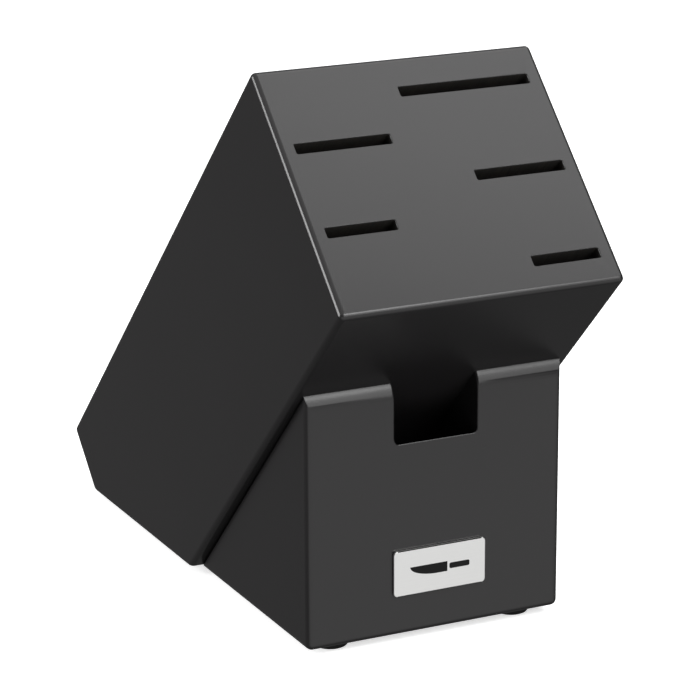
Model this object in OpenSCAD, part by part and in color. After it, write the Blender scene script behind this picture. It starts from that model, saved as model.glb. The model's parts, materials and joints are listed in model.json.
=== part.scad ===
// Slanted knife block: a pack of grooved boards, glued and lacquered, that leans back on a front wedge.
// Millimetres, +Z up, front towards -Y. The origin is on the surface the block stands on, under the
// middle of its box.

/* [Block] */
// Width of the block
block_w = 110; // [100:1:130]
// Thickness of the block, from its front board to its back board
block_t = 100; // [98:1:120]
// Length of the block, from its heel to its mouth
block_l = 260; // [250:1:280]
// Lean of the block back from the vertical, in degrees
block_lean = 45; // [43:1:47]
// Height of the heel's upper corner above the base
heel_rise = 20; // [18:1:26]
// Radius of the arrises round the mouth and along the block
block_arris = 2; // [1:0.5:4]
// Radius of the arrises round the heel
heel_arris = 3; // [1:0.5:6]

/* [Boards] */
// Thickness of the front board, which holds the paring knife's groove
paring_board_t = 14; // [12:0.5:16]
// Thickness of the board with the utility knife's groove
utility_board_t = 21; // [19:0.5:22]
// Thickness of the board with the carving knife's groove
carving_board_t = 15.5; // [14:0.5:17]
// Thickness of the board with the bread knife's groove
bread_board_t = 18.5; // [17:0.5:19]
// Thickness of the board with the chef's knife's groove
chef_board_t = 18.5; // [17:0.5:19]

/* [Blade slots] */
// Width of every slot
slot_w = 4; // [3:0.5:5]
// Wood between a slot's outer end and the side of the block
slot_margin = 6; // [5:0.5:8]
// Height of the wood left between a slot's closed end and the base
slot_floor = 20; // [16:1:30]
// Length of the paring knife's slot
paring_slot = 26.5; // [20:0.5:40]
// Length of the utility knife's slot
utility_slot = 26.5; // [20:0.5:40]
// Length of the carving knife's slot
carving_slot = 35; // [25:0.5:45]
// Length of the bread knife's slot
bread_slot = 36.5; // [25:0.5:45]
// Length of the chef's knife's slot
chef_slot = 51.5; // [40:0.5:60]

/* [Wedge] */
// Width of the wedge
wedge_w = 102; // [90:1:110]
// Overhang of the mouth in front of the wedge
overhang = 36.3; // [30:0.1:45]
// Width of the shears channel between the wedge's cheeks
channel_w = 33; // [28:1:38]
// Depth of the shears channel, square to the underside of the block
channel_d = 17; // [14:0.5:20]
// Radius of the round-over along the wedge's top edge
top_round = 12; // [8:0.5:16]
// Height from the start of the round-over up to the wedge's sharp corner
top_round_drop = 9; // [6:0.5:10]
// Radius of the wedge's upright front arrises
wedge_arris = 2.5; // [1:0.5:4]
// Radius of the wedge's slanting side arrises, where it meets the block
seam_arris = 2.5; // [1:0.5:4]

/* [Dowels] */
// Diameter of the dowels between the wedge and the block
dowel_d = 8; // [6:1:8]
// Length of each dowel
dowel_l = 25; // [20:1:30]
// Depth that each dowel goes into the block's front board
dowel_bite = 8; // [6:0.5:9]

/* [Badge] */
// Width of the badge plate
badge_w = 37; // [25:0.5:45]
// Height of the badge plate
badge_h = 17.3; // [10:0.1:25]
// Thickness of the badge plate
badge_t = 1; // [0.8:0.1:1.5]
// Thickness of the adhesive film behind the plate
film_t = 0.3; // [0.2:0.1:0.5]
// Distance of the adhesive film's edge inside the plate's edge
film_inset = 1; // [0.5:0.5:2]
// Height of the badge's middle above the base
badge_z = 24; // [18:0.5:40]
// Distance of the badge's middle to the right of the block's middle
badge_x = 1; // [-5:0.5:5]
// Radius of the badge's corners
badge_corner = 1; // [0.5:0.5:3]

/* [Feet] */
// Diameter of a rubber foot
foot_d = 13; // [11:0.5:16]
// Height of a rubber foot
foot_h = 3; // [2.5:0.5:5]
// Radius of a foot's lower edge
foot_edge = 1.2; // [0.5:0.1:1.5]
// Distance of the feet to each side of the middle
foot_x = 37; // [30:1:42]
// Distance of the front feet behind the wedge's front face
front_foot_set = 11; // [9:1:20]
// Distance of the rear feet in front of the heel's lower edge
rear_foot_set = 16; // [14:1:24]

/* [Foot screws] */
// Diameter of a screw's shank
screw_d = 3; // [2.5:0.5:3.5]
// Diameter of a screw's head
screw_head_d = 5.6; // [5:0.1:6]
// Height of a screw's head
screw_head_h = 1.2; // [1:0.1:1.5]
// Rubber left between a screw's head and the wood
screw_web = 1; // [0.8:0.1:1.2]
// Length of a screw's shank in the wood
screw_bite = 11; // [8:1:13]

/* [Hidden] */
$fn = 64;
// Overshoot of a cutting solid past the face it cuts
cut = 1;
LEFT = -1;
RIGHT = 1;

lacquer = [0.20, 0.20, 0.20];
dowel_wood = [0.80, 0.62, 0.42];
badge_metal = [0.82, 0.82, 0.81];
film_black = [0.10, 0.10, 0.10];
rubber = [0.06, 0.06, 0.06];
steel = [0.62, 0.62, 0.64];

// Depth of each glue line behind the block's underside
paring_line = paring_board_t;
utility_line = paring_line + utility_board_t;
carving_line = utility_line + carving_board_t;
bread_line = carving_line + bread_board_t;
chef_line = bread_line + chef_board_t;

// The block's own frame has x across it, y from its underside to its back, and z from heel to mouth.
// Its corner, at the foot of the underside, is at [corner_y, corner_z], so that the box is centred.
front_reach = (block_l - block_arris) * sin(block_lean) - block_arris * cos(block_lean) + block_arris;
back_reach = (block_t - heel_arris) * cos(block_lean) - heel_arris * sin(block_lean) + heel_arris;
corner_y = (front_reach - back_reach) / 2;
corner_z = foot_h + heel_rise - block_t * sin(block_lean);

// Where the underside meets the base, measured along the block and from front to back
tip_up = (foot_h - corner_z) / cos(block_lean);
tip_y = corner_y - tip_up * sin(block_lean);
// Lower edge of the heel's end face
heel_y = corner_y + (foot_h - corner_z) / tan(block_lean);

// The wedge's front face and the sharp corner where it would meet the underside
wedge_y = corner_y - block_l * sin(block_lean) + overhang;
wedge_up = (corner_y - wedge_y) / sin(block_lean);
wedge_top = corner_z + wedge_up * cos(block_lean);

front_foot_y = wedge_y + front_foot_set;
rear_foot_y = heel_y - rear_foot_set;
cheek_middle = (wedge_w + channel_w) / 4;
dowel_low = tip_up + (wedge_up - tip_up) * 0.36;
dowel_high = tip_up + (wedge_up - tip_up) * 0.64;

// Height along the block at which a slot of this depth is closed, slot_floor above the base
function slot_end(depth) = (foot_h + slot_floor - corner_z - depth * sin(block_lean)) / cos(block_lean);

// Places children that are drawn in the block's own frame
module on_block() {
    translate([0, corner_y, corner_z]) rotate([block_lean, 0, 0]) children();
}

// What a rounded corner of radius r takes away, at the origin of a shape that fills x > 0 and y > 0
module corner_waste(r) {
    difference() {
        translate([-cut, -cut]) square(r + cut);
        translate([r, r]) circle(r);
    }
}

// A rectangle from y = 0 up, centred across, with its own radii at the low and the high corners
module soft_rectangle(w, h, low, high) {
    difference() {
        translate([-w / 2, 0]) square([w, h]);
        for (side = [0, 1]) mirror([side, 0]) {
            translate([-w / 2, 0]) corner_waste(low);
            translate([-w / 2, h]) mirror([0, 1]) corner_waste(high);
        }
    }
}

// Extrudes an outline drawn in y and z across the width w
module across(w) {
    translate([-w / 2, 0, 0]) rotate([90, 0, 90]) linear_extrude(w) children();
}

// The whole block before it is cut into boards, with every arris rounded
module block_form() {
    wide = block_w + 2 * cut;
    intersection() {
        on_block() intersection() {
            linear_extrude(block_l) soft_rectangle(block_w, block_t, block_arris, block_arris);
            translate([0, block_t + cut, 0]) rotate([90, 0, 0]) linear_extrude(block_t + 2 * cut)
                soft_rectangle(block_w, block_l, heel_arris, block_arris);
            across(wide) difference() {
                square([block_t, block_l]);
                translate([block_t, 0]) mirror([1, 0]) corner_waste(heel_arris);
                translate([0, block_l]) mirror([0, 1]) corner_waste(block_arris);
                translate([block_t, block_l]) mirror([1, 0]) mirror([0, 1]) corner_waste(block_arris);
            }
        }
        translate([-wide / 2, -block_l, foot_h]) cube([wide, 2 * block_l, block_l]);
    }
}

// One board of the block, between two glue lines
module board(front, back) {
    difference() {
        intersection() {
            block_form();
            on_block() translate([-block_w, front, -cut])
                cube([2 * block_w, back - front, block_l + 2 * cut]);
        }
        foot_screw_bores();
    }
}

// A blade groove in the back of the board that ends at this glue line, open at the mouth
module groove(line, length, side) {
    outer = block_w / 2 - slot_margin;
    low = slot_end(line - slot_w);
    on_block() translate([side > 0 ? outer - length : -outer, line - slot_w, low])
        cube([length, slot_w + cut, block_l + cut - low]);
}

module grooved_board(front, line, length, side) {
    color(lacquer) difference() {
        board(front, line);
        groove(line, length, side);
    }
}

module paring_board() {
    color(lacquer) difference() {
        board(0, paring_line);
        groove(paring_line, paring_slot, RIGHT);
        dowel_bores();
    }
}

module utility_board() {
    grooved_board(paring_line, utility_line, utility_slot, LEFT);
}

module carving_board() {
    grooved_board(utility_line, carving_line, carving_slot, RIGHT);
}

module bread_board() {
    grooved_board(carving_line, bread_line, bread_slot, LEFT);
}

module chef_board() {
    grooved_board(bread_line, chef_line, chef_slot, RIGHT);
}

module back_board() {
    color(lacquer) board(chef_line, block_t);
}

// The wedge before it is cut into staves: under the block, with its front edges rounded
module wedge_form() {
    depth = tip_y - wedge_y;
    intersection() {
        across(wedge_w) difference() {
            polygon([[wedge_y, foot_h], [tip_y, foot_h], [wedge_y, wedge_top]]);
            difference() {
                translate([wedge_y - cut, wedge_top - top_round_drop]) square([top_round + cut, top_round_drop]);
                translate([wedge_y + top_round, wedge_top - top_round_drop]) circle(top_round);
            }
        }
        translate([0, wedge_y, 0]) linear_extrude(wedge_top)
            soft_rectangle(wedge_w, depth + 4 * wedge_arris, wedge_arris, wedge_arris);
        on_block() mirror([0, 1, 0]) linear_extrude(block_l)
            soft_rectangle(wedge_w, block_t, seam_arris, seam_arris);
    }
}

// The part of the wedge between two distances across
module wedge_slice(from, to) {
    intersection() {
        wedge_form();
        translate([from, wedge_y - cut, 0]) cube([to - from, block_l, wedge_top + cut]);
    }
}

module wedge_cheek(side) {
    inner = channel_w / 2;
    outer = wedge_w / 2 + cut;
    color(lacquer) difference() {
        wedge_slice(side > 0 ? inner : -outer, side > 0 ? outer : -inner);
        dowel_bores();
        foot_screw_bores();
    }
}

// The middle stave is thinner than the cheeks, which leaves the shears channel over it
module wedge_stave() {
    color(lacquer) difference() {
        wedge_slice(-channel_w / 2, channel_w / 2);
        on_block() translate([-block_w / 2, -channel_d, 0]) cube([block_w, channel_d + cut, block_l]);
    }
}

// A solid or a bore on a dowel's axis, square to the underside
module dowel_rod(side, up) {
    on_block() translate([side * cheek_middle, dowel_bite, up]) rotate([90, 0, 0])
        cylinder(d = dowel_d, h = dowel_l);
}

module dowel_bores() {
    for (side = [LEFT, RIGHT], up = [dowel_low, dowel_high]) dowel_rod(side, up);
}

module dowel(side, up) {
    color(dowel_wood) dowel_rod(side, up);
}

// A thin plate with round corners, its back on the plane y = back
module badge_sheet(inset, back, thick) {
    w = badge_w - 2 * inset;
    h = badge_h - 2 * inset;
    corner = max(badge_corner - inset, 0.4);
    translate([badge_x, back, foot_h + badge_z - h / 2]) rotate([90, 0, 0])
        linear_extrude(thick) soft_rectangle(w, h, corner, corner);
}

module badge_film() {
    color(film_black) badge_sheet(film_inset, wedge_y, film_t);
}

module badge_plate() {
    color(badge_metal) badge_sheet(0, wedge_y - film_t, badge_t);
}

// A turned rubber foot with a recess for its screw's head
module foot(side, y) {
    recess_h = foot_h - screw_web;
    recess_r = screw_head_d / 2 + 0.4;
    color(rubber) translate([side * foot_x, y, 0]) rotate_extrude() difference() {
        translate([screw_d / 2, 0]) square([(foot_d - screw_d) / 2, foot_h]);
        translate([foot_d / 2, 0]) mirror([1, 0]) corner_waste(foot_edge);
        translate([0, -cut]) square([recess_r, recess_h + cut]);
    }
}

// A screw's outline, turned about its axis: shank in the wood, head in the foot's recess
module screw_turning() {
    head_z = foot_h - screw_web - screw_head_h;
    shank_top = foot_h + screw_bite;
    rotate_extrude() union() {
        translate([0, head_z]) square([screw_head_d / 2, screw_head_h]);
        translate([0, head_z]) square([screw_d / 2, shank_top - head_z - screw_d / 2]);
        polygon([[0, shank_top - screw_d / 2], [screw_d / 2, shank_top - screw_d / 2], [0, shank_top]]);
    }
}

module foot_screw(side, y) {
    drive_w = 0.8;
    drive_l = 3;
    drive_depth = 0.7;
    head_z = foot_h - screw_web - screw_head_h;
    color(steel) translate([side * foot_x, y, 0]) difference() {
        screw_turning();
        for (turn = [0, 90]) rotate([0, 0, turn])
            translate([-drive_l / 2, -drive_w / 2, head_z - cut]) cube([drive_l, drive_w, drive_depth + cut]);
    }
}

module foot_screw_bores() {
    for (side = [LEFT, RIGHT], y = [front_foot_y, rear_foot_y])
        translate([side * foot_x, y, 0]) cylinder(d = screw_d, h = foot_h + screw_bite);
}

paring_board();
utility_board();
carving_board();
bread_board();
chef_board();
back_board();
wedge_cheek(LEFT);  // wedge_cheek_left
wedge_stave();
wedge_cheek(RIGHT);  // wedge_cheek_right
dowel(LEFT, dowel_low);  // dowel_left_low
dowel(LEFT, dowel_high);  // dowel_left_high
dowel(RIGHT, dowel_low);  // dowel_right_low
dowel(RIGHT, dowel_high);  // dowel_right_high
badge_film();
badge_plate();
foot(LEFT, front_foot_y);  // foot_front_left
foot(RIGHT, front_foot_y);  // foot_front_right
foot(LEFT, rear_foot_y);  // foot_rear_left
foot(RIGHT, rear_foot_y);  // foot_rear_right
foot_screw(LEFT, front_foot_y);  // screw_front_left
foot_screw(RIGHT, front_foot_y);  // screw_front_right
foot_screw(LEFT, rear_foot_y);  // screw_rear_left
foot_screw(RIGHT, rear_foot_y);  // screw_rear_right
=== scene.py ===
# %% [markdown]
# # A slanted knife block
# The block is a pack of six boards, glued and lacquered, that leans back on a notched wedge. The drawing
# of every part comes first, as a fixed frame: its boxes say where each piece is, and nothing here moves it.
# This script gives the pieces the soft arrises, slot rims and finishes that a drawing leaves out.

# %% Load the frame
import json
import math

import bmesh
import bpy
from mathutils import Matrix, Vector


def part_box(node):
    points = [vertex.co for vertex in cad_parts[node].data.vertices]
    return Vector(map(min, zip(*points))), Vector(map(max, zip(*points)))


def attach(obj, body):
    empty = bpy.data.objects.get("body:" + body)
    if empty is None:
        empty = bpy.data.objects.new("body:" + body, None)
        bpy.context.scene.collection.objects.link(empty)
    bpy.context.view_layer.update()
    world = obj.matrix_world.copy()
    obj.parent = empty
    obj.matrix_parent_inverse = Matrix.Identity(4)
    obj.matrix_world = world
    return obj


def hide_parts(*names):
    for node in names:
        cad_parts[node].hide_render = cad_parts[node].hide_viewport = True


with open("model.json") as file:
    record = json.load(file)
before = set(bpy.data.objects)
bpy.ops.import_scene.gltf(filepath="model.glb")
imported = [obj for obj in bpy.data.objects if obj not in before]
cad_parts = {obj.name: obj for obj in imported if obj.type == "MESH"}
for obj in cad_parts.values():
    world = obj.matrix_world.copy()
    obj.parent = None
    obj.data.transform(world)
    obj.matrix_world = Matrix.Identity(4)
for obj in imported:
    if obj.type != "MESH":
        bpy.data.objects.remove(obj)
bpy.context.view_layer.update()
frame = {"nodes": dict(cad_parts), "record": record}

MM = 0.001
scene = bpy.context.scene

# %% [markdown]
# ## The camera
# A long lens from well back keeps the block's edges nearly parallel, as a catalogue picture does. The
# camera stands to the left of the front and a little above, so the mouth, one side and the wedge all show.

# %% Camera
VIEW_TURN = math.radians(-26.0)
VIEW_RISE = math.radians(16.73)
VIEW_ROLL = math.radians(-0.22)
EYE = Vector((-0.4746, -0.9941, 0.4150))
LENS_MM = 155.7


def set_up_camera():
    bpy.ops.object.camera_add(location=EYE)
    camera = bpy.context.object
    camera.name = "camera"
    aim = Matrix.Rotation(VIEW_TURN, 3, "Z") @ Matrix.Rotation(math.pi / 2 - VIEW_RISE, 3, "X")
    camera.rotation_euler = (aim @ Matrix.Rotation(VIEW_ROLL, 3, "Z")).to_euler()
    camera.data.lens = LENS_MM
    camera.data.sensor_width = 36
    camera.data.clip_start = 0.05
    scene.camera = camera
    return camera


print("camera", set_up_camera().name)

# %% [markdown]
# ## Measuring the frame
# The boards lie along two directions: up the block, from heel to mouth, and into it, from the underside to
# the back. How far a part reaches along a direction is read from the frame's own points, so every size
# below follows the drawing.

# %% Directions and sizes
LEAN = math.radians(45)
ACROSS = Vector((1, 0, 0))
UP = Vector((0, -math.sin(LEAN), math.cos(LEAN)))
INTO = Vector((0, math.cos(LEAN), math.sin(LEAN)))
DOWN = Vector((0, 0, -1))
FRONT = Vector((0, -1, 0))


def reach(node, direction):
    """How far a part of the frame goes along a direction: its lowest and its highest value."""
    along = [v.co.dot(direction) for v in frame["nodes"][node].data.vertices]
    return min(along), max(along)


BOARDS = ["paring_board", "utility_board", "carving_board", "bread_board", "chef_board", "back_board"]
block_left, block_right = reach("back_board", ACROSS)
heel, mouth = reach("back_board", UP)
underside = reach("paring_board", INTO)[0]
block_back = reach("back_board", INTO)[1]
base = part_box("wedge_stave")[0].z
wedge_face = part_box("wedge_stave")[0].y
wedge_left, wedge_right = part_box("wedge_cheek_left")[0].x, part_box("wedge_cheek_right")[1].x
stave_left, stave_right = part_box("wedge_stave")[0].x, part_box("wedge_stave")[1].x
channel_floor = reach("wedge_stave", INTO)[1]


def at(x, up, into):
    """The point at these distances across, up and into the block."""
    return ACROSS * x + UP * up + INTO * into


print("block", round(block_right - block_left, 4), round(mouth - heel, 4), round(block_back - underside, 4))

# %% [markdown]
# ## Picking edges and faces
# Operators act on whatever is selected, so every helper first selects one piece and nothing else. By hand
# the edges would be clicked on, and here a test on their place or on the faces beside them does the same.

# %% Picking edges and faces
HAIR = 0.002 * MM


def hold(piece):
    """Selects this piece and nothing else."""
    bpy.ops.object.select_all(action="DESELECT")
    piece.select_set(True)
    bpy.context.view_layer.objects.active = piece


def pick(piece, kind, wanted):
    """In edit mode, selects the edges or faces that pass the test, and says how many there are."""
    bpy.ops.mesh.select_mode(type=kind)
    bpy.ops.mesh.select_all(action="DESELECT")
    mesh = bmesh.from_edit_mesh(piece.data)
    mesh.normal_update()
    found = [part for part in (mesh.edges if kind == "EDGE" else mesh.faces) if wanted(part)]
    for part in found:
        part.select_set(True)
    bmesh.update_edit_mesh(piece.data)
    return len(found)


def middle(edge):
    return (edge.verts[0].co + edge.verts[1].co) / 2


def runs_along(edge, direction):
    return abs((edge.verts[1].co - edge.verts[0].co).normalized().dot(direction)) > 0.999


def beside(edge, direction, share=0.999):
    """True if one of the faces beside the edge looks in this direction."""
    return any(face.normal.dot(direction) > share for face in edge.link_faces)


def near(value, target, slack=0.02 * MM):
    return abs(value - target) < slack


# %% [markdown]
# ## Sanding, sawing and drilling
# These are the bench tools, and there are only three. The sander bevels the edges that a test picks out,
# the drill cuts one shape out of another, and the saw cuts a piece at a plane and closes the cut. A wall
# that lies exactly in the saw's plane would be left behind as a flap, so the saw throws those away too.

# %% Sanding, sawing and drilling
def sand(piece, radius, steps, wanted):
    """Rounds the edges that pass the test."""
    hold(piece)
    bpy.ops.object.mode_set(mode="EDIT")
    if pick(piece, "EDGE", wanted):
        bpy.ops.mesh.bevel(offset=radius, offset_type="OFFSET", segments=steps, profile=0.5,
                           affect="EDGES", clamp_overlap=False)
    bpy.ops.object.mode_set(mode="OBJECT")


def saw(piece, point, normal):
    """Takes away what lies on the side that the normal points to, and closes the cut."""
    hold(piece)
    bpy.ops.object.mode_set(mode="EDIT")
    bpy.ops.mesh.select_all(action="SELECT")
    bpy.ops.mesh.bisect(plane_co=point, plane_no=normal, threshold=HAIR, clear_outer=True)
    depth = point.dot(normal)
    if pick(piece, "FACE", lambda face: face.normal.dot(normal) < -0.999
            and near(face.verts[0].co.dot(normal), depth, HAIR)):
        bpy.ops.mesh.delete(type="FACE")
    pick(piece, "EDGE", lambda edge: edge.is_boundary)
    bpy.ops.mesh.fill_holes(sides=0)
    bpy.ops.object.mode_set(mode="OBJECT")


def drill(piece, cutter):
    """Cuts the cutter's shape out of the piece, and removes the cutter."""
    hold(piece)
    change = piece.modifiers.new("cut", "BOOLEAN")
    change.operation = "DIFFERENCE"
    change.solver = "EXACT"
    change.object = cutter
    bpy.ops.object.modifier_apply(modifier=change.name)
    bpy.data.objects.remove(cutter)


# %% [markdown]
# ## Blanks, copies and polish
# A blank is where each piece starts: a cube at its size and place, with both applied to its mesh. Polishing
# sets the shading. Edges past a limit stay crisp, and the large flats pull the normals square, so a flat
# looks flat and an arris looks round.

# %% Blanks, copies and polish
SHARP = math.radians(40)


def blank(name, centre, size, turn=(0, 0, 0)):
    """A sawn block of wood at its size and place."""
    bpy.ops.object.select_all(action="DESELECT")
    bpy.ops.mesh.primitive_cube_add(size=1, location=centre, rotation=turn)
    piece = bpy.context.object
    piece.name = name
    piece.scale = size
    bpy.ops.object.transform_apply(location=True, rotation=True, scale=True)
    return piece


def copy_of(piece, name):
    hold(piece)
    bpy.ops.object.duplicate()
    made = bpy.context.object
    made.name = name
    return made


def polish(piece):
    """Shades flats flat and arrises round: sharp edges stay sharp, and large faces set the normals."""
    hold(piece)
    bpy.ops.object.shade_smooth_by_angle(angle=SHARP)
    change = piece.modifiers.new("normals", "WEIGHTED_NORMAL")
    change.keep_sharp = True
    change.weight = 100
    bpy.ops.object.modifier_apply(modifier=change.name)


def open_edges(piece):
    """Edges that don't have exactly two faces: a sound piece of wood has none."""
    mesh = bmesh.new()
    mesh.from_mesh(piece.data)
    count = sum(1 for edge in mesh.edges if not edge.is_manifold)
    mesh.free()
    return count


print("bench ready, hair", HAIR, "m")

# %% [markdown]
# ## The block
# The real block is glued up first and then sawn, sanded and lacquered as one, which is why no board stands
# proud of its neighbour. So one blank is sawn off at the base and sanded, and only later cut at the glue
# lines. The long arrises are rounded first and the ends after them, which lets the ends' rounding run
# round the corners as sandpaper does.

# %% Saw and sand the block
BLOCK_ARRIS = 2.0 * MM
HEEL_ARRIS = 3.0 * MM
BASE_ARRIS = 1.5 * MM


def make_block():
    block = blank("block", at(0, (heel + mouth) / 2, (underside + block_back) / 2),
                  (block_right - block_left, block_back - underside, mouth - heel), (LEAN, 0, 0))
    saw(block, Vector((0, 0, base)), DOWN)
    sand(block, BLOCK_ARRIS, 8, lambda edge: runs_along(edge, UP))
    sand(block, HEEL_ARRIS, 8, lambda edge: beside(edge, -UP) and not beside(edge, DOWN))
    sand(block, BLOCK_ARRIS, 8, lambda edge: beside(edge, UP))
    sand(block, BASE_ARRIS, 5, lambda edge: beside(edge, DOWN))
    return block


block = make_block()
print("block", len(block.data.polygons), "faces,", open_edges(block), "open edges")

# %% [markdown]
# ## The blade slots
# A slot's corners are round, because the lacquer fills them, and it draws back a little from the rim all
# round, so the rim is eased. A bevel there would trip over the lines that a drilled face needs between its
# holes, so the round is on the router bit instead: an extruded top that flares step by step. The same slot
# later serves two boards: the one in front gets the groove, and the one behind the wall that closes it.

# %% Slots
SLOT_WIDTH = 4.0 * MM
SLOT_LENGTHS = {"paring_slot": 26.5 * MM, "utility_slot": 26.5 * MM, "carving_slot": 35.0 * MM,
                "bread_slot": 36.5 * MM, "chef_slot": 51.5 * MM}
SLOT_FLOOR = 20.0 * MM
SLOT_CORNER = 0.7 * MM
RIM = 0.4 * MM
RIM_STEPS = 4
BIT_LIFT = 0.015 * MM
mounts = {mount["name"]: Vector(mount["pos_m"]) for mount in frame["record"]["mounts"]}


def in_slot(point, name, slack):
    """True if the point is inside the slot's outline, seen from the mouth, or this close to it."""
    away = point - mounts[name]
    return abs(away.x) < SLOT_LENGTHS[name] / 2 + slack and abs(away.dot(INTO)) < SLOT_WIDTH / 2 + slack


def in_any_slot(point):
    return any(in_slot(point, name, HAIR) for name in SLOT_LENGTHS)


def slot_bit(name):
    """A router bit of the slot's shape with the rim's round above it, in its place in the block."""
    length, rim_top = SLOT_LENGTHS[name], BIT_LIFT
    front = mounts[name].dot(INTO) - SLOT_WIDTH / 2
    closed = (base + SLOT_FLOOR - INTO.z * front) / UP.z - mouth
    bit = blank("bit", (0, 0, (closed + rim_top - RIM) / 2), (length, SLOT_WIDTH, rim_top - RIM - closed))
    sand(bit, SLOT_CORNER, 4, lambda edge: runs_along(edge, DOWN))
    bpy.ops.object.mode_set(mode="EDIT")
    pick(bit, "FACE", lambda face: face.normal.z > 0.999)
    flare, rise = 0, -RIM
    for i in range(1, RIM_STEPS + 1):
        turn = math.radians(90) * i / RIM_STEPS
        wider, higher = RIM * (1 - math.cos(turn)), RIM * (math.sin(turn) - 1)
        bpy.ops.mesh.extrude_region_move(TRANSFORM_OT_translate={"value": (0, 0, higher - rise)})
        bpy.ops.transform.resize(value=((length + 2 * wider) / (length + 2 * flare),
                                        (SLOT_WIDTH + 2 * wider) / (SLOT_WIDTH + 2 * flare), 1),
                                 center_override=(0, 0, 0))
        flare, rise = wider, higher
    bpy.ops.mesh.extrude_region_move(TRANSFORM_OT_translate={"value": (0, 0, 1 * MM)})
    bpy.ops.object.mode_set(mode="OBJECT")
    bit.location, bit.rotation_euler = mounts[name], (LEAN, 0, 0)
    bpy.ops.object.transform_apply(location=True, rotation=True, scale=True)
    return bit


for name in SLOT_LENGTHS:
    drill(block, slot_bit(name))
print("slots", len(SLOT_LENGTHS), "in", len(block.data.polygons), "faces,", open_edges(block), "open edges")

# %% [markdown]
# ## The boards
# The boards could be made one by one, but then every arris and rim would have to meet its neighbour's. So
# each board is a copy of the finished block, sawn off at the glue lines in front of it and behind it.

# %% Saw the block into boards
def make_boards():
    glue_lines = [reach(node, INTO)[1] for node in BOARDS[:-1]]
    made = []
    for i, node in enumerate(BOARDS):
        board = copy_of(block, "lacquered_" + node)
        if i > 0:
            saw(board, INTO * glue_lines[i - 1], -INTO)
        if i < len(glue_lines):
            saw(board, INTO * glue_lines[i], INTO)
        made.append(board)
    return made


boards = make_boards()
bpy.data.objects.remove(block)
print("boards", [(board.name, len(board.data.polygons), open_edges(board)) for board in boards])

# %% [markdown]
# ## The wedge's top edge
# The wedge carries the block. Its front top edge is rounded over before it is glued on, so the curve stops
# where it meets the underside instead of closing into it. That is why it is planed flat by flat here, each
# flat a tangent of the curve, where a bevel would have run it out into the slope.

# %% Plane the top edge
TOP_ROUND = 12.0 * MM
TOP_ROUND_DROP = 9.0 * MM
TOP_FLATS = 14


def plane_top_edge(wedge, corner_z):
    centre = Vector((0, wedge_face + TOP_ROUND, corner_z - TOP_ROUND_DROP))
    sweep = LEAN + math.asin((TOP_ROUND_DROP / TOP_ROUND - 1) / math.sqrt(2))
    for i in range(TOP_FLATS):
        rise = sweep * (i + 1) / TOP_FLATS
        out = Vector((0, -math.cos(rise), math.sin(rise)))
        saw(wedge, centre + out * TOP_ROUND, out)


print("top edge in", TOP_FLATS, "flats")

# %% [markdown]
# ## The channel
# The shears hang in a channel between the wedge's cheeks, under the block. A cove runs along both sides of
# its floor, as a round-nosed cutter leaves, so the cutter's two lower edges are rounded.

# %% Cut the channel
COVE = 1.7 * MM
OVERCUT = 40 * MM


def cut_channel(wedge):
    low, high = reach("wedge_stave", UP)
    cutter = blank("cutter",
                   at((stave_left + stave_right) / 2, (low + high) / 2, channel_floor + OVERCUT / 2),
                   (stave_right - stave_left, OVERCUT, high - low + 2 * OVERCUT), (LEAN, 0, 0))
    sand(cutter, COVE, 6, lambda edge: (
        runs_along(edge, UP) and near(middle(edge).dot(INTO), channel_floor)))
    drill(wedge, cutter)


print("channel", round(stave_right - stave_left, 4), "wide")

# %% [markdown]
# ## The wedge
# The order matters. The channel is cut while the wedge is a plain prism, because a cut through rounded
# edges can fail. Then come the upright arrises and the top edge. The slanting arrises and the bottom ones
# meet in a sharp tip, so they are rounded together, which mitres them there, and the notch's rim is last.

# %% Saw and sand the wedge
WEDGE_ARRIS = 2.5 * MM
NOTCH_ARRIS = 0.9 * MM


def in_notch(edge):
    return stave_left - HAIR < middle(edge).x < stave_right + HAIR


def make_wedge():
    corner_z = (underside - INTO.y * wedge_face) / INTO.z
    tip_y = (underside - INTO.z * base) / INTO.y
    low, high = Vector((wedge_left, wedge_face, base)), Vector((wedge_right, tip_y, corner_z))
    wedge = blank("wedge", (low + high) / 2, high - low)
    saw(wedge, INTO * underside, INTO)
    cut_channel(wedge)
    sand(wedge, WEDGE_ARRIS, 8, lambda edge: (
        runs_along(edge, DOWN) and near(middle(edge).y, wedge_face) and beside(edge, FRONT)
        and not in_notch(edge)))
    plane_top_edge(wedge, corner_z)
    sand(wedge, WEDGE_ARRIS, 8, lambda edge: (
        (runs_along(edge, UP) and beside(edge, INTO) and not in_notch(edge))
        or (beside(edge, DOWN) and not beside(edge, INTO))))
    sand(wedge, NOTCH_ARRIS, 5, lambda edge: (
        in_notch(edge) and beside(edge, FRONT, 0.5) and not beside(edge, DOWN, 0.1)
        and not all(face.normal.dot(FRONT) > 0.5 for face in edge.link_faces)))
    return wedge


wedge = make_wedge()
print("wedge", len(wedge.data.polygons), "faces,", open_edges(wedge), "open edges")

# %% [markdown]
# ## The staves
# The glue lines run in the notch's walls, so the two cheeks take the whole height and the stave between
# them ends at the channel's floor. Like the boards, they are copies of one finished form, sawn apart.

# %% Saw the wedge into staves
def make_staves():
    left = copy_of(wedge, "lacquered_wedge_cheek_left")
    saw(left, ACROSS * stave_left, ACROSS)
    stave = copy_of(wedge, "lacquered_wedge_stave")
    saw(stave, ACROSS * stave_left, -ACROSS)
    saw(stave, ACROSS * stave_right, ACROSS)
    right = copy_of(wedge, "lacquered_wedge_cheek_right")
    saw(right, ACROSS * stave_right, -ACROSS)
    return [left, stave, right]


staves = make_staves()
bpy.data.objects.remove(wedge)
print("staves", [(stave.name, len(stave.data.polygons), open_edges(stave)) for stave in staves])

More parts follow.
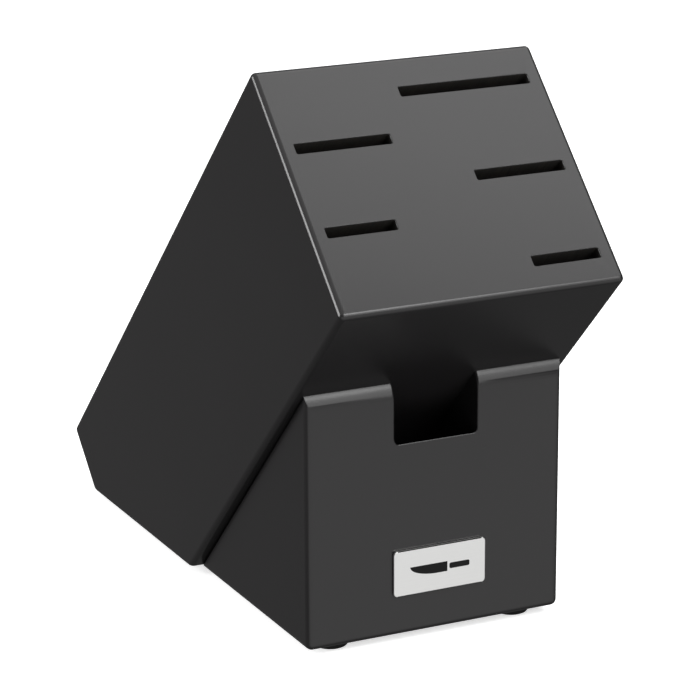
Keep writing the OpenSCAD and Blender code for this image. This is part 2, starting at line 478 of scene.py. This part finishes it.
# %% [markdown]
# ## The badge
# A stamping in brushed aluminium, held by an adhesive film. Its corners are round, and its front edge was
# broken when it was polished, which is the bright line round it. The mark on it is a plain kitchen knife,
# etched a little deep and filled with dark enamel. It could be part of the finish, but shapes that are cut
# into the plate keep a crisp edge from near by.

# %% Badge plate
BADGE_CORNER = 1.5 * MM
BADGE_ARRIS = 0.3 * MM
ETCHED = 0.12 * MM
MARK_BLADE = (-12.0 * MM, 3.0 * MM)
MARK_HANDLE = (3.8 * MM, 12.0 * MM)
BLADE_HEIGHT = 3.8 * MM
BELLY_ROUND = 3.724 * MM
BELLY_STRETCH = 3.0
HANDLE_HEIGHT = 2.2 * MM
HANDLE_ROUND = 0.66 * MM


def mark_cutter(left, right, height):
    """A cutter for one shape of the mark, between these distances from the badge's middle."""
    low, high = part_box("badge_plate")
    spot = Vector(((low.x + high.x + left + right) / 2, low.y, (low.z + high.z) / 2))
    return blank("cutter", spot, (right - left, 2 * ETCHED, height))


def blade_cutter():
    """The blade: its belly starts as a quarter circle, which is then stretched along the blade."""
    start, end = MARK_BLADE
    length = end - start
    blade = mark_cutter(start, start + length / BELLY_STRETCH, BLADE_HEIGHT)
    tip, lower = blade.bound_box[0][0], blade.bound_box[0][2]
    sand(blade, BELLY_ROUND, 16, lambda edge: (
        runs_along(edge, FRONT) and near(middle(edge).x, tip) and near(middle(edge).z, lower)))
    bpy.ops.object.mode_set(mode="EDIT")
    bpy.ops.mesh.select_all(action="SELECT")
    bpy.ops.transform.resize(value=(BELLY_STRETCH, 1, 1), center_override=(tip, 0, 0))
    bpy.ops.object.mode_set(mode="OBJECT")
    return blade


def make_badge():
    low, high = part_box("badge_plate")
    plate = blank("badge", (low + high) / 2, high - low)
    sand(plate, BADGE_CORNER, 6, lambda edge: runs_along(edge, FRONT))
    sand(plate, BADGE_ARRIS, 3, lambda edge: beside(edge, FRONT))
    handle = mark_cutter(*MARK_HANDLE, HANDLE_HEIGHT)
    sand(handle, HANDLE_ROUND, 5, lambda edge: runs_along(edge, FRONT))
    drill(plate, handle)
    drill(plate, blade_cutter())
    return plate


badge = make_badge()
print("badge", len(badge.data.polygons), "faces,", open_edges(badge), "open edges")

# %% [markdown]
# ## The feet
# Each foot is a moulded rubber disc with a recess for its screw. It could be spun from a profile, and a
# cylinder gets there sooner: the underside is inset and pushed in for the recess, and the rim that meets the
# table is rounded.

# %% Rubber feet
FEET = ["front_left", "front_right", "rear_left", "rear_right"]
FOOT_RIM = 1.2 * MM
FOOT_TOP_RIM = 0.3 * MM
RECESS = 3.2 * MM
RECESS_EASE = 0.2 * MM
RECESS_DEPTH = 1.8 * MM


def make_foot(corner):
    low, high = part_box("foot_" + corner)
    radius = (high.x - low.x) / 2
    bpy.ops.object.select_all(action="DESELECT")
    bpy.ops.mesh.primitive_cylinder_add(vertices=64, radius=radius, depth=high.z - low.z,
                                        location=(low + high) / 2)
    foot = bpy.context.object
    foot.name = "rubber_foot_" + corner
    bpy.ops.object.transform_apply(location=True, rotation=True, scale=True)
    sand(foot, FOOT_RIM, 5, lambda edge: beside(edge, DOWN))
    sand(foot, FOOT_TOP_RIM, 2, lambda edge: beside(edge, -DOWN))
    bpy.ops.object.mode_set(mode="EDIT")
    pick(foot, "FACE", lambda face: face.normal.dot(DOWN) > 0.999)
    bpy.ops.mesh.inset(thickness=radius - FOOT_RIM - RECESS, depth=0)
    bpy.ops.mesh.inset(thickness=RECESS_EASE, depth=-RECESS_EASE)
    bpy.ops.mesh.extrude_region_move(TRANSFORM_OT_translate={"value": (0, 0, RECESS_DEPTH)})
    bpy.ops.object.mode_set(mode="OBJECT")
    return foot


feet = [make_foot(corner) for corner in FEET]
print("feet", [(foot.name, open_edges(foot)) for foot in feet])

# %% [markdown]
# ## Finishes
# Every finish is made of nodes that read the object's own coordinates, in metres, so a grain of so many
# millimetres stays that size on every piece. Picture textures would need unwrapping, and nodes don't.

# %% Node helpers
def finish_named(name):
    """A new material, with its node tree and its shader."""
    made = bpy.data.materials.new(name)
    made.use_nodes = True
    return made, made.node_tree, made.node_tree.nodes["Principled BSDF"]


def add(tree, kind, **values):
    """Adds a node and sets its inputs by name, or its settings where no input has that name."""
    node = tree.nodes.new(kind)
    for name, value in values.items():
        label = name.replace("_", " ")
        if label in node.inputs:
            node.inputs[label].default_value = value
        else:
            setattr(node, name, value)
    return node


def place(tree, scale, turn=(0, 0, 0)):
    """Object coordinates, turned and then scaled: a large scale makes fine marks along that axis."""
    coordinates = add(tree, "ShaderNodeTexCoord")
    turned = add(tree, "ShaderNodeMapping")
    turned.inputs["Rotation"].default_value = turn
    scaled = add(tree, "ShaderNodeMapping")
    scaled.inputs["Scale"].default_value = scale
    tree.links.new(coordinates.outputs["Object"], turned.inputs["Vector"])
    tree.links.new(turned.outputs["Vector"], scaled.inputs["Vector"])
    return scaled.outputs["Vector"]


def noise(tree, where, scale=1.0, detail=4.0, roughness=0.5):
    node = add(tree, "ShaderNodeTexNoise", Scale=scale, Detail=detail, Roughness=roughness)
    tree.links.new(where, node.inputs["Vector"])
    return node.outputs["Fac"]


def ramp(tree, value, low, high, to_low, to_high):
    """Maps the part of a value's range from low to high onto a new range."""
    node = add(tree, "ShaderNodeMapRange")
    for label, number in (("From Min", low), ("From Max", high), ("To Min", to_low), ("To Max", to_high)):
        node.inputs[label].default_value = number
    tree.links.new(value, node.inputs["Value"])
    return node.outputs["Result"]


def colour_between(tree, shader, share, first, second):
    """The shader's colour goes from the first to the second as the share goes from 0 to 1."""
    node = add(tree, "ShaderNodeMix", data_type="RGBA")
    node.inputs["A"].default_value = (*first, 1)
    node.inputs["B"].default_value = (*second, 1)
    tree.links.new(share, node.inputs["Factor"])
    tree.links.new(node.outputs["Result"], shader.inputs["Base Color"])


def bump(tree, height, strength, distance, below=None):
    node = add(tree, "ShaderNodeBump", Strength=strength, Distance=distance)
    tree.links.new(height, node.inputs["Height"])
    if below is not None:
        tree.links.new(below, node.inputs["Normal"])
    return node.outputs["Normal"]


# %% [markdown]
# ## Anthracite lacquer
# An opaque satin lacquer, sprayed on sanded wood. It is nearly black with a trace of plum in it, and most
# of what is seen of it is the room's reflection, so its roughness matters more than its colour. Two faint
# reliefs sit in it: the ripple of the sprayed coat, and the wood's fibres, which have sunk a little since.

# %% Lacquer
def make_lacquer():
    made, tree, shader = finish_named("satin_lacquer")
    cloud = noise(tree, place(tree, (14, 14, 14)), detail=3)
    colour_between(tree, shader, cloud, (0.0128, 0.0121, 0.0125), (0.0150, 0.0142, 0.0147))
    tree.links.new(ramp(tree, cloud, 0.3, 0.7, 0.23, 0.27), shader.inputs["Roughness"])
    fibres = noise(tree, place(tree, (900, 900, 26), (-LEAN, 0, 0)), detail=3)
    ripple = noise(tree, place(tree, (420, 420, 420)), detail=2)
    grain = bump(tree, fibres, 0.10, 0.02 * MM)
    tree.links.new(bump(tree, ripple, 0.12, 0.02 * MM, grain), shader.inputs["Normal"])
    return made


lacquer = make_lacquer()
print("finish", lacquer.name)

# %% [markdown]
# ## Slot wood
# Inside the slots the wood is bare from the cutter. Stain has run in from the mouth, so it is a very dark
# brown and quite matt, with the fibres standing along the groove. Plain black would pass from afar, but the
# streaks show at the slots' mouths.

# %% Slot wood
def make_slot_wood():
    made, tree, shader = finish_named("slot_wood")
    fibres = noise(tree, place(tree, (1400, 1400, 90), (-LEAN, 0, 0)), detail=6, roughness=0.65)
    stain = ramp(tree, fibres, 0.35, 0.7, 0, 1)
    colour_between(tree, shader, stain, (0.004, 0.0035, 0.003), (0.022, 0.018, 0.013))
    shader.inputs["Roughness"].default_value = 0.85
    tree.links.new(bump(tree, fibres, 0.6, 0.2 * MM), shader.inputs["Normal"])
    return made


slot_wood = make_slot_wood()
print("finish", slot_wood.name)

# %% [markdown]
# ## Aluminium and enamel
# The badge's brushing runs along it: the same noise, stretched, drives its colour, its roughness and its
# relief. The enamel in the mark is a dull black that flowed level.

# %% Aluminium and enamel
def make_aluminium():
    made, tree, shader = finish_named("brushed_aluminium")
    lines = noise(tree, place(tree, (60, 9000, 9000)), detail=4, roughness=0.6)
    shader.inputs["Metallic"].default_value = 1.0
    colour_between(tree, shader, lines, (0.80, 0.80, 0.79), (0.90, 0.90, 0.89))
    tree.links.new(ramp(tree, lines, 0.3, 0.7, 0.30, 0.42), shader.inputs["Roughness"])
    tree.links.new(bump(tree, lines, 0.15, 0.01 * MM), shader.inputs["Normal"])
    return made


def make_enamel():
    made, tree, shader = finish_named("black_enamel")
    flow = noise(tree, place(tree, (600, 600, 600)), detail=2)
    colour_between(tree, shader, flow, (0.006, 0.006, 0.006), (0.010, 0.010, 0.010))
    shader.inputs["Roughness"].default_value = 0.5
    shader.inputs["Specular IOR Level"].default_value = 0.15
    return made


aluminium, enamel = make_aluminium(), make_enamel()
print("finishes", aluminium.name, enamel.name)

# %% [markdown]
# ## Rubber, film, beech and zinc
# The rubber is matt with a fine moulded bloom, and the film is a dull foam. The dowels and screws are
# hardly seen, yet each has its own wood or metal.

# %% Rubber, film, beech and zinc
def make_rubber():
    made, tree, shader = finish_named("moulded_rubber")
    bloom = noise(tree, place(tree, (700, 700, 700)), detail=5)
    colour_between(tree, shader, bloom, (0.006, 0.006, 0.006), (0.011, 0.011, 0.011))
    shader.inputs["Specular IOR Level"].default_value = 0.15
    tree.links.new(ramp(tree, bloom, 0.3, 0.7, 0.55, 0.75), shader.inputs["Roughness"])
    tree.links.new(bump(tree, bloom, 0.2, 0.05 * MM), shader.inputs["Normal"])
    return made


def make_film():
    made, tree, shader = finish_named("black_film")
    foam = noise(tree, place(tree, (2500, 2500, 2500)), detail=3)
    colour_between(tree, shader, foam, (0.008, 0.008, 0.008), (0.020, 0.020, 0.020))
    shader.inputs["Roughness"].default_value = 0.8
    tree.links.new(bump(tree, foam, 0.4, 0.05 * MM), shader.inputs["Normal"])
    return made


def make_beech():
    made, tree, shader = finish_named("bare_beech")
    grain = noise(tree, place(tree, (500, 60, 500), (-LEAN, 0, 0)), detail=6, roughness=0.6)
    colour_between(tree, shader, grain, (0.45, 0.27, 0.14), (0.68, 0.47, 0.28))
    shader.inputs["Roughness"].default_value = 0.6
    tree.links.new(bump(tree, grain, 0.3, 0.1 * MM), shader.inputs["Normal"])
    return made


def make_zinc():
    made, tree, shader = finish_named("zinc_plated_steel")
    spangle = noise(tree, place(tree, (1800, 1800, 1800)), detail=4)
    shader.inputs["Metallic"].default_value = 1.0
    colour_between(tree, shader, spangle, (0.50, 0.50, 0.52), (0.66, 0.66, 0.68))
    tree.links.new(ramp(tree, spangle, 0.3, 0.7, 0.28, 0.45), shader.inputs["Roughness"])
    return made


rubber, film, beech, zinc = make_rubber(), make_film(), make_beech(), make_zinc()
print("finishes", rubber.name, film.name, beech.name, zinc.name)

# %% [markdown]
# ## Putting the finishes on
# A board has two finishes: lacquer outside, and slot wood on the groove's walls and on both glued faces,
# where only the stretch that closes a slot can be seen. The badge has metal and the mark's enamel. The
# faces are told apart by where they are.

# %% Put the finishes on
def dress_board(board):
    board.data.materials.append(lacquer)
    board.data.materials.append(slot_wood)
    glued = [reach(board.name.replace("lacquered_", ""), INTO)[side] for side in (0, 1)]
    glued = [depth for depth in glued if underside + MM < depth < block_back - MM]
    for face in board.data.polygons:
        in_groove = in_any_slot(face.center) and face.center.dot(UP) < mouth - RIM + HAIR
        at_glue = any(near(face.center.dot(INTO), depth) for depth in glued)
        if in_groove or (at_glue and abs(face.normal.dot(INTO)) > 0.999):
            face.material_index = 1


def fill_mark():
    """Enamel in the mark: on the faces behind the plate's front, but not as deep as its back."""
    badge.data.materials.append(enamel)
    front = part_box("badge_plate")[0].y
    for face in badge.data.polygons:
        away = face.center.x - sum(corner.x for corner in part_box("badge_plate")) / 2
        if HAIR < face.center.y - front < 2 * ETCHED and MARK_BLADE[0] < away < MARK_HANDLE[1]:
            face.material_index = 1


for board in boards:
    dress_board(board)
    polish(board)
for piece, coat in [*((s, lacquer) for s in staves), (badge, aluminium), *((f, rubber) for f in feet)]:
    piece.data.materials.append(coat)
    polish(piece)
fill_mark()
print("slot wood on", sum(f.material_index for b in boards for f in b.data.polygons), "faces")

# %% [markdown]
# ## Parts that stay as drawn
# The film, the dowels and the screws are hidden or nearly so, and their drawn shapes are right. They keep
# their meshes and only get their finishes, in place of the drawing's plain colours.

# %% Finishes on the parts that stay as drawn
DRAWN = {"badge_film": film}
DRAWN.update({"dowel_" + p: beech for p in ("left_low", "left_high", "right_low", "right_high")})
DRAWN.update({"screw_" + p: zinc for p in FEET})
for node, coat in DRAWN.items():
    part = frame["nodes"][node]
    part.data.materials.clear()
    part.data.materials.append(coat)
print("kept as drawn", sorted(DRAWN))

# %% [markdown]
# ## Joining the frame
# Every piece rides on the frame's one body and stands for its own node.

# %% Ride and replace
for piece in [*boards, *staves]:
    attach(piece, "root")
    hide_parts(piece.name.replace("lacquered_", ""))
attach(badge, "root")
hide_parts("badge_plate")
for foot in feet:
    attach(foot, "root")
    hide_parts(foot.name.replace("rubber_", ""))
print("joined", len(boards) + len(staves) + len(feet) + 1, "pieces")

# %% [markdown]
# ## The floor
# The floor is a pale light table, as catalogue studios use: it glows a little, so the block's shadow on it
# stays faint. Its own rays are kept off the block, and the sky below stands in for it there, because that
# can be made dimmer behind the block than in front of it.

# %% Floor
TABLE_GLOW = 0.65


def make_floor():
    bpy.ops.object.select_all(action="DESELECT")
    bpy.ops.mesh.primitive_plane_add(size=40, location=(0, 0, 0))
    floor = bpy.context.object
    floor.name = "floor"
    made, tree, shader = finish_named("floor_paint")
    shader.inputs["Base Color"].default_value = (0.92, 0.92, 0.92, 1)
    shader.inputs["Roughness"].default_value = 0.9
    shader.inputs["Specular IOR Level"].default_value = 0.0
    shader.inputs["Emission Color"].default_value = (1, 1, 1, 1)
    shader.inputs["Emission Strength"].default_value = TABLE_GLOW
    floor.data.materials.append(made)
    floor.visible_diffuse = False
    floor.visible_glossy = False
    floor.visible_shadow = False
    return floor


print("stage", make_floor().name)

# %% [markdown]
# ## The sky
# Dark satin lacquer shows what it reflects. The mouth sees the soft light overhead. The wedge's front and
# the badge see the bright table in front, and the side sees the dim room behind. So the sky has those
# three parts: overhead, the table in front, and the dim table elsewhere.

# %% Sky
OVERHEAD = 0.8
TABLE_DIM = 0.13
TABLE_IN_FRONT = 0.89


def make_sky():
    sky = bpy.data.worlds.new("sky")
    scene.world = sky
    sky.use_nodes = True
    tree = sky.node_tree
    direction = add(tree, "ShaderNodeTexCoord")
    parts = add(tree, "ShaderNodeSeparateXYZ")
    tree.links.new(direction.outputs["Generated"], parts.inputs["Vector"])
    overhead = ramp(tree, parts.outputs["Z"], 0.3, 0.9, 0, OVERHEAD)
    below = ramp(tree, parts.outputs["Z"], -0.05, 0.12, 1, 0)
    table = ramp(tree, parts.outputs["Y"], -0.8, -0.3, TABLE_IN_FRONT, TABLE_DIM)
    both = add(tree, "ShaderNodeMath", operation="MULTIPLY_ADD")
    for i, part in enumerate((below, table, overhead)):
        tree.links.new(part, both.inputs[i])
    tree.links.new(both.outputs["Value"], tree.nodes["Background"].inputs["Strength"])
    tree.nodes["Background"].inputs["Color"].default_value = (1, 1, 1, 1)


make_sky()
print("sky", scene.world.name)

# %% [markdown]
# ## Soft boxes
# Four soft boxes draw the bright lines along the arrises. The left one lights the mouth's long arris, the
# front and high ones its front arris and the wedge's round top, and the top one makes the mouth lighter
# towards its back. The camera doesn't see them.

# %% Soft boxes
SOFT_BOXES = {
    "left_box": ((-1.7, 0.35, 0.7), (0.8, 1.1), 28),
    "front_box": ((0.5, -1.8, 0.7), (1.2, 0.8), 8),
    "high_box": ((0.5, -1.4, 1.4), (1.0, 0.8), 18),
    "top_box": ((0.85, -0.1, 1.6), (1.0, 1.0), 6.5),
}
LIGHTS_AIM = Vector((0, 0, 0.1))


def hang_box(name, where, size, watts):
    bpy.ops.object.light_add(type="AREA", location=where)
    box = bpy.context.object
    box.name = name
    box.data.shape = "RECTANGLE"
    box.data.size, box.data.size_y = size
    box.data.energy = watts
    box.rotation_euler = (LIGHTS_AIM - Vector(where)).to_track_quat("-Z", "Y").to_euler()
    box.visible_camera = False


for name, (where, size, watts) in SOFT_BOXES.items():
    hang_box(name, where, size, watts)
scene.view_settings.view_transform = "Standard"
print("light", list(SOFT_BOXES))
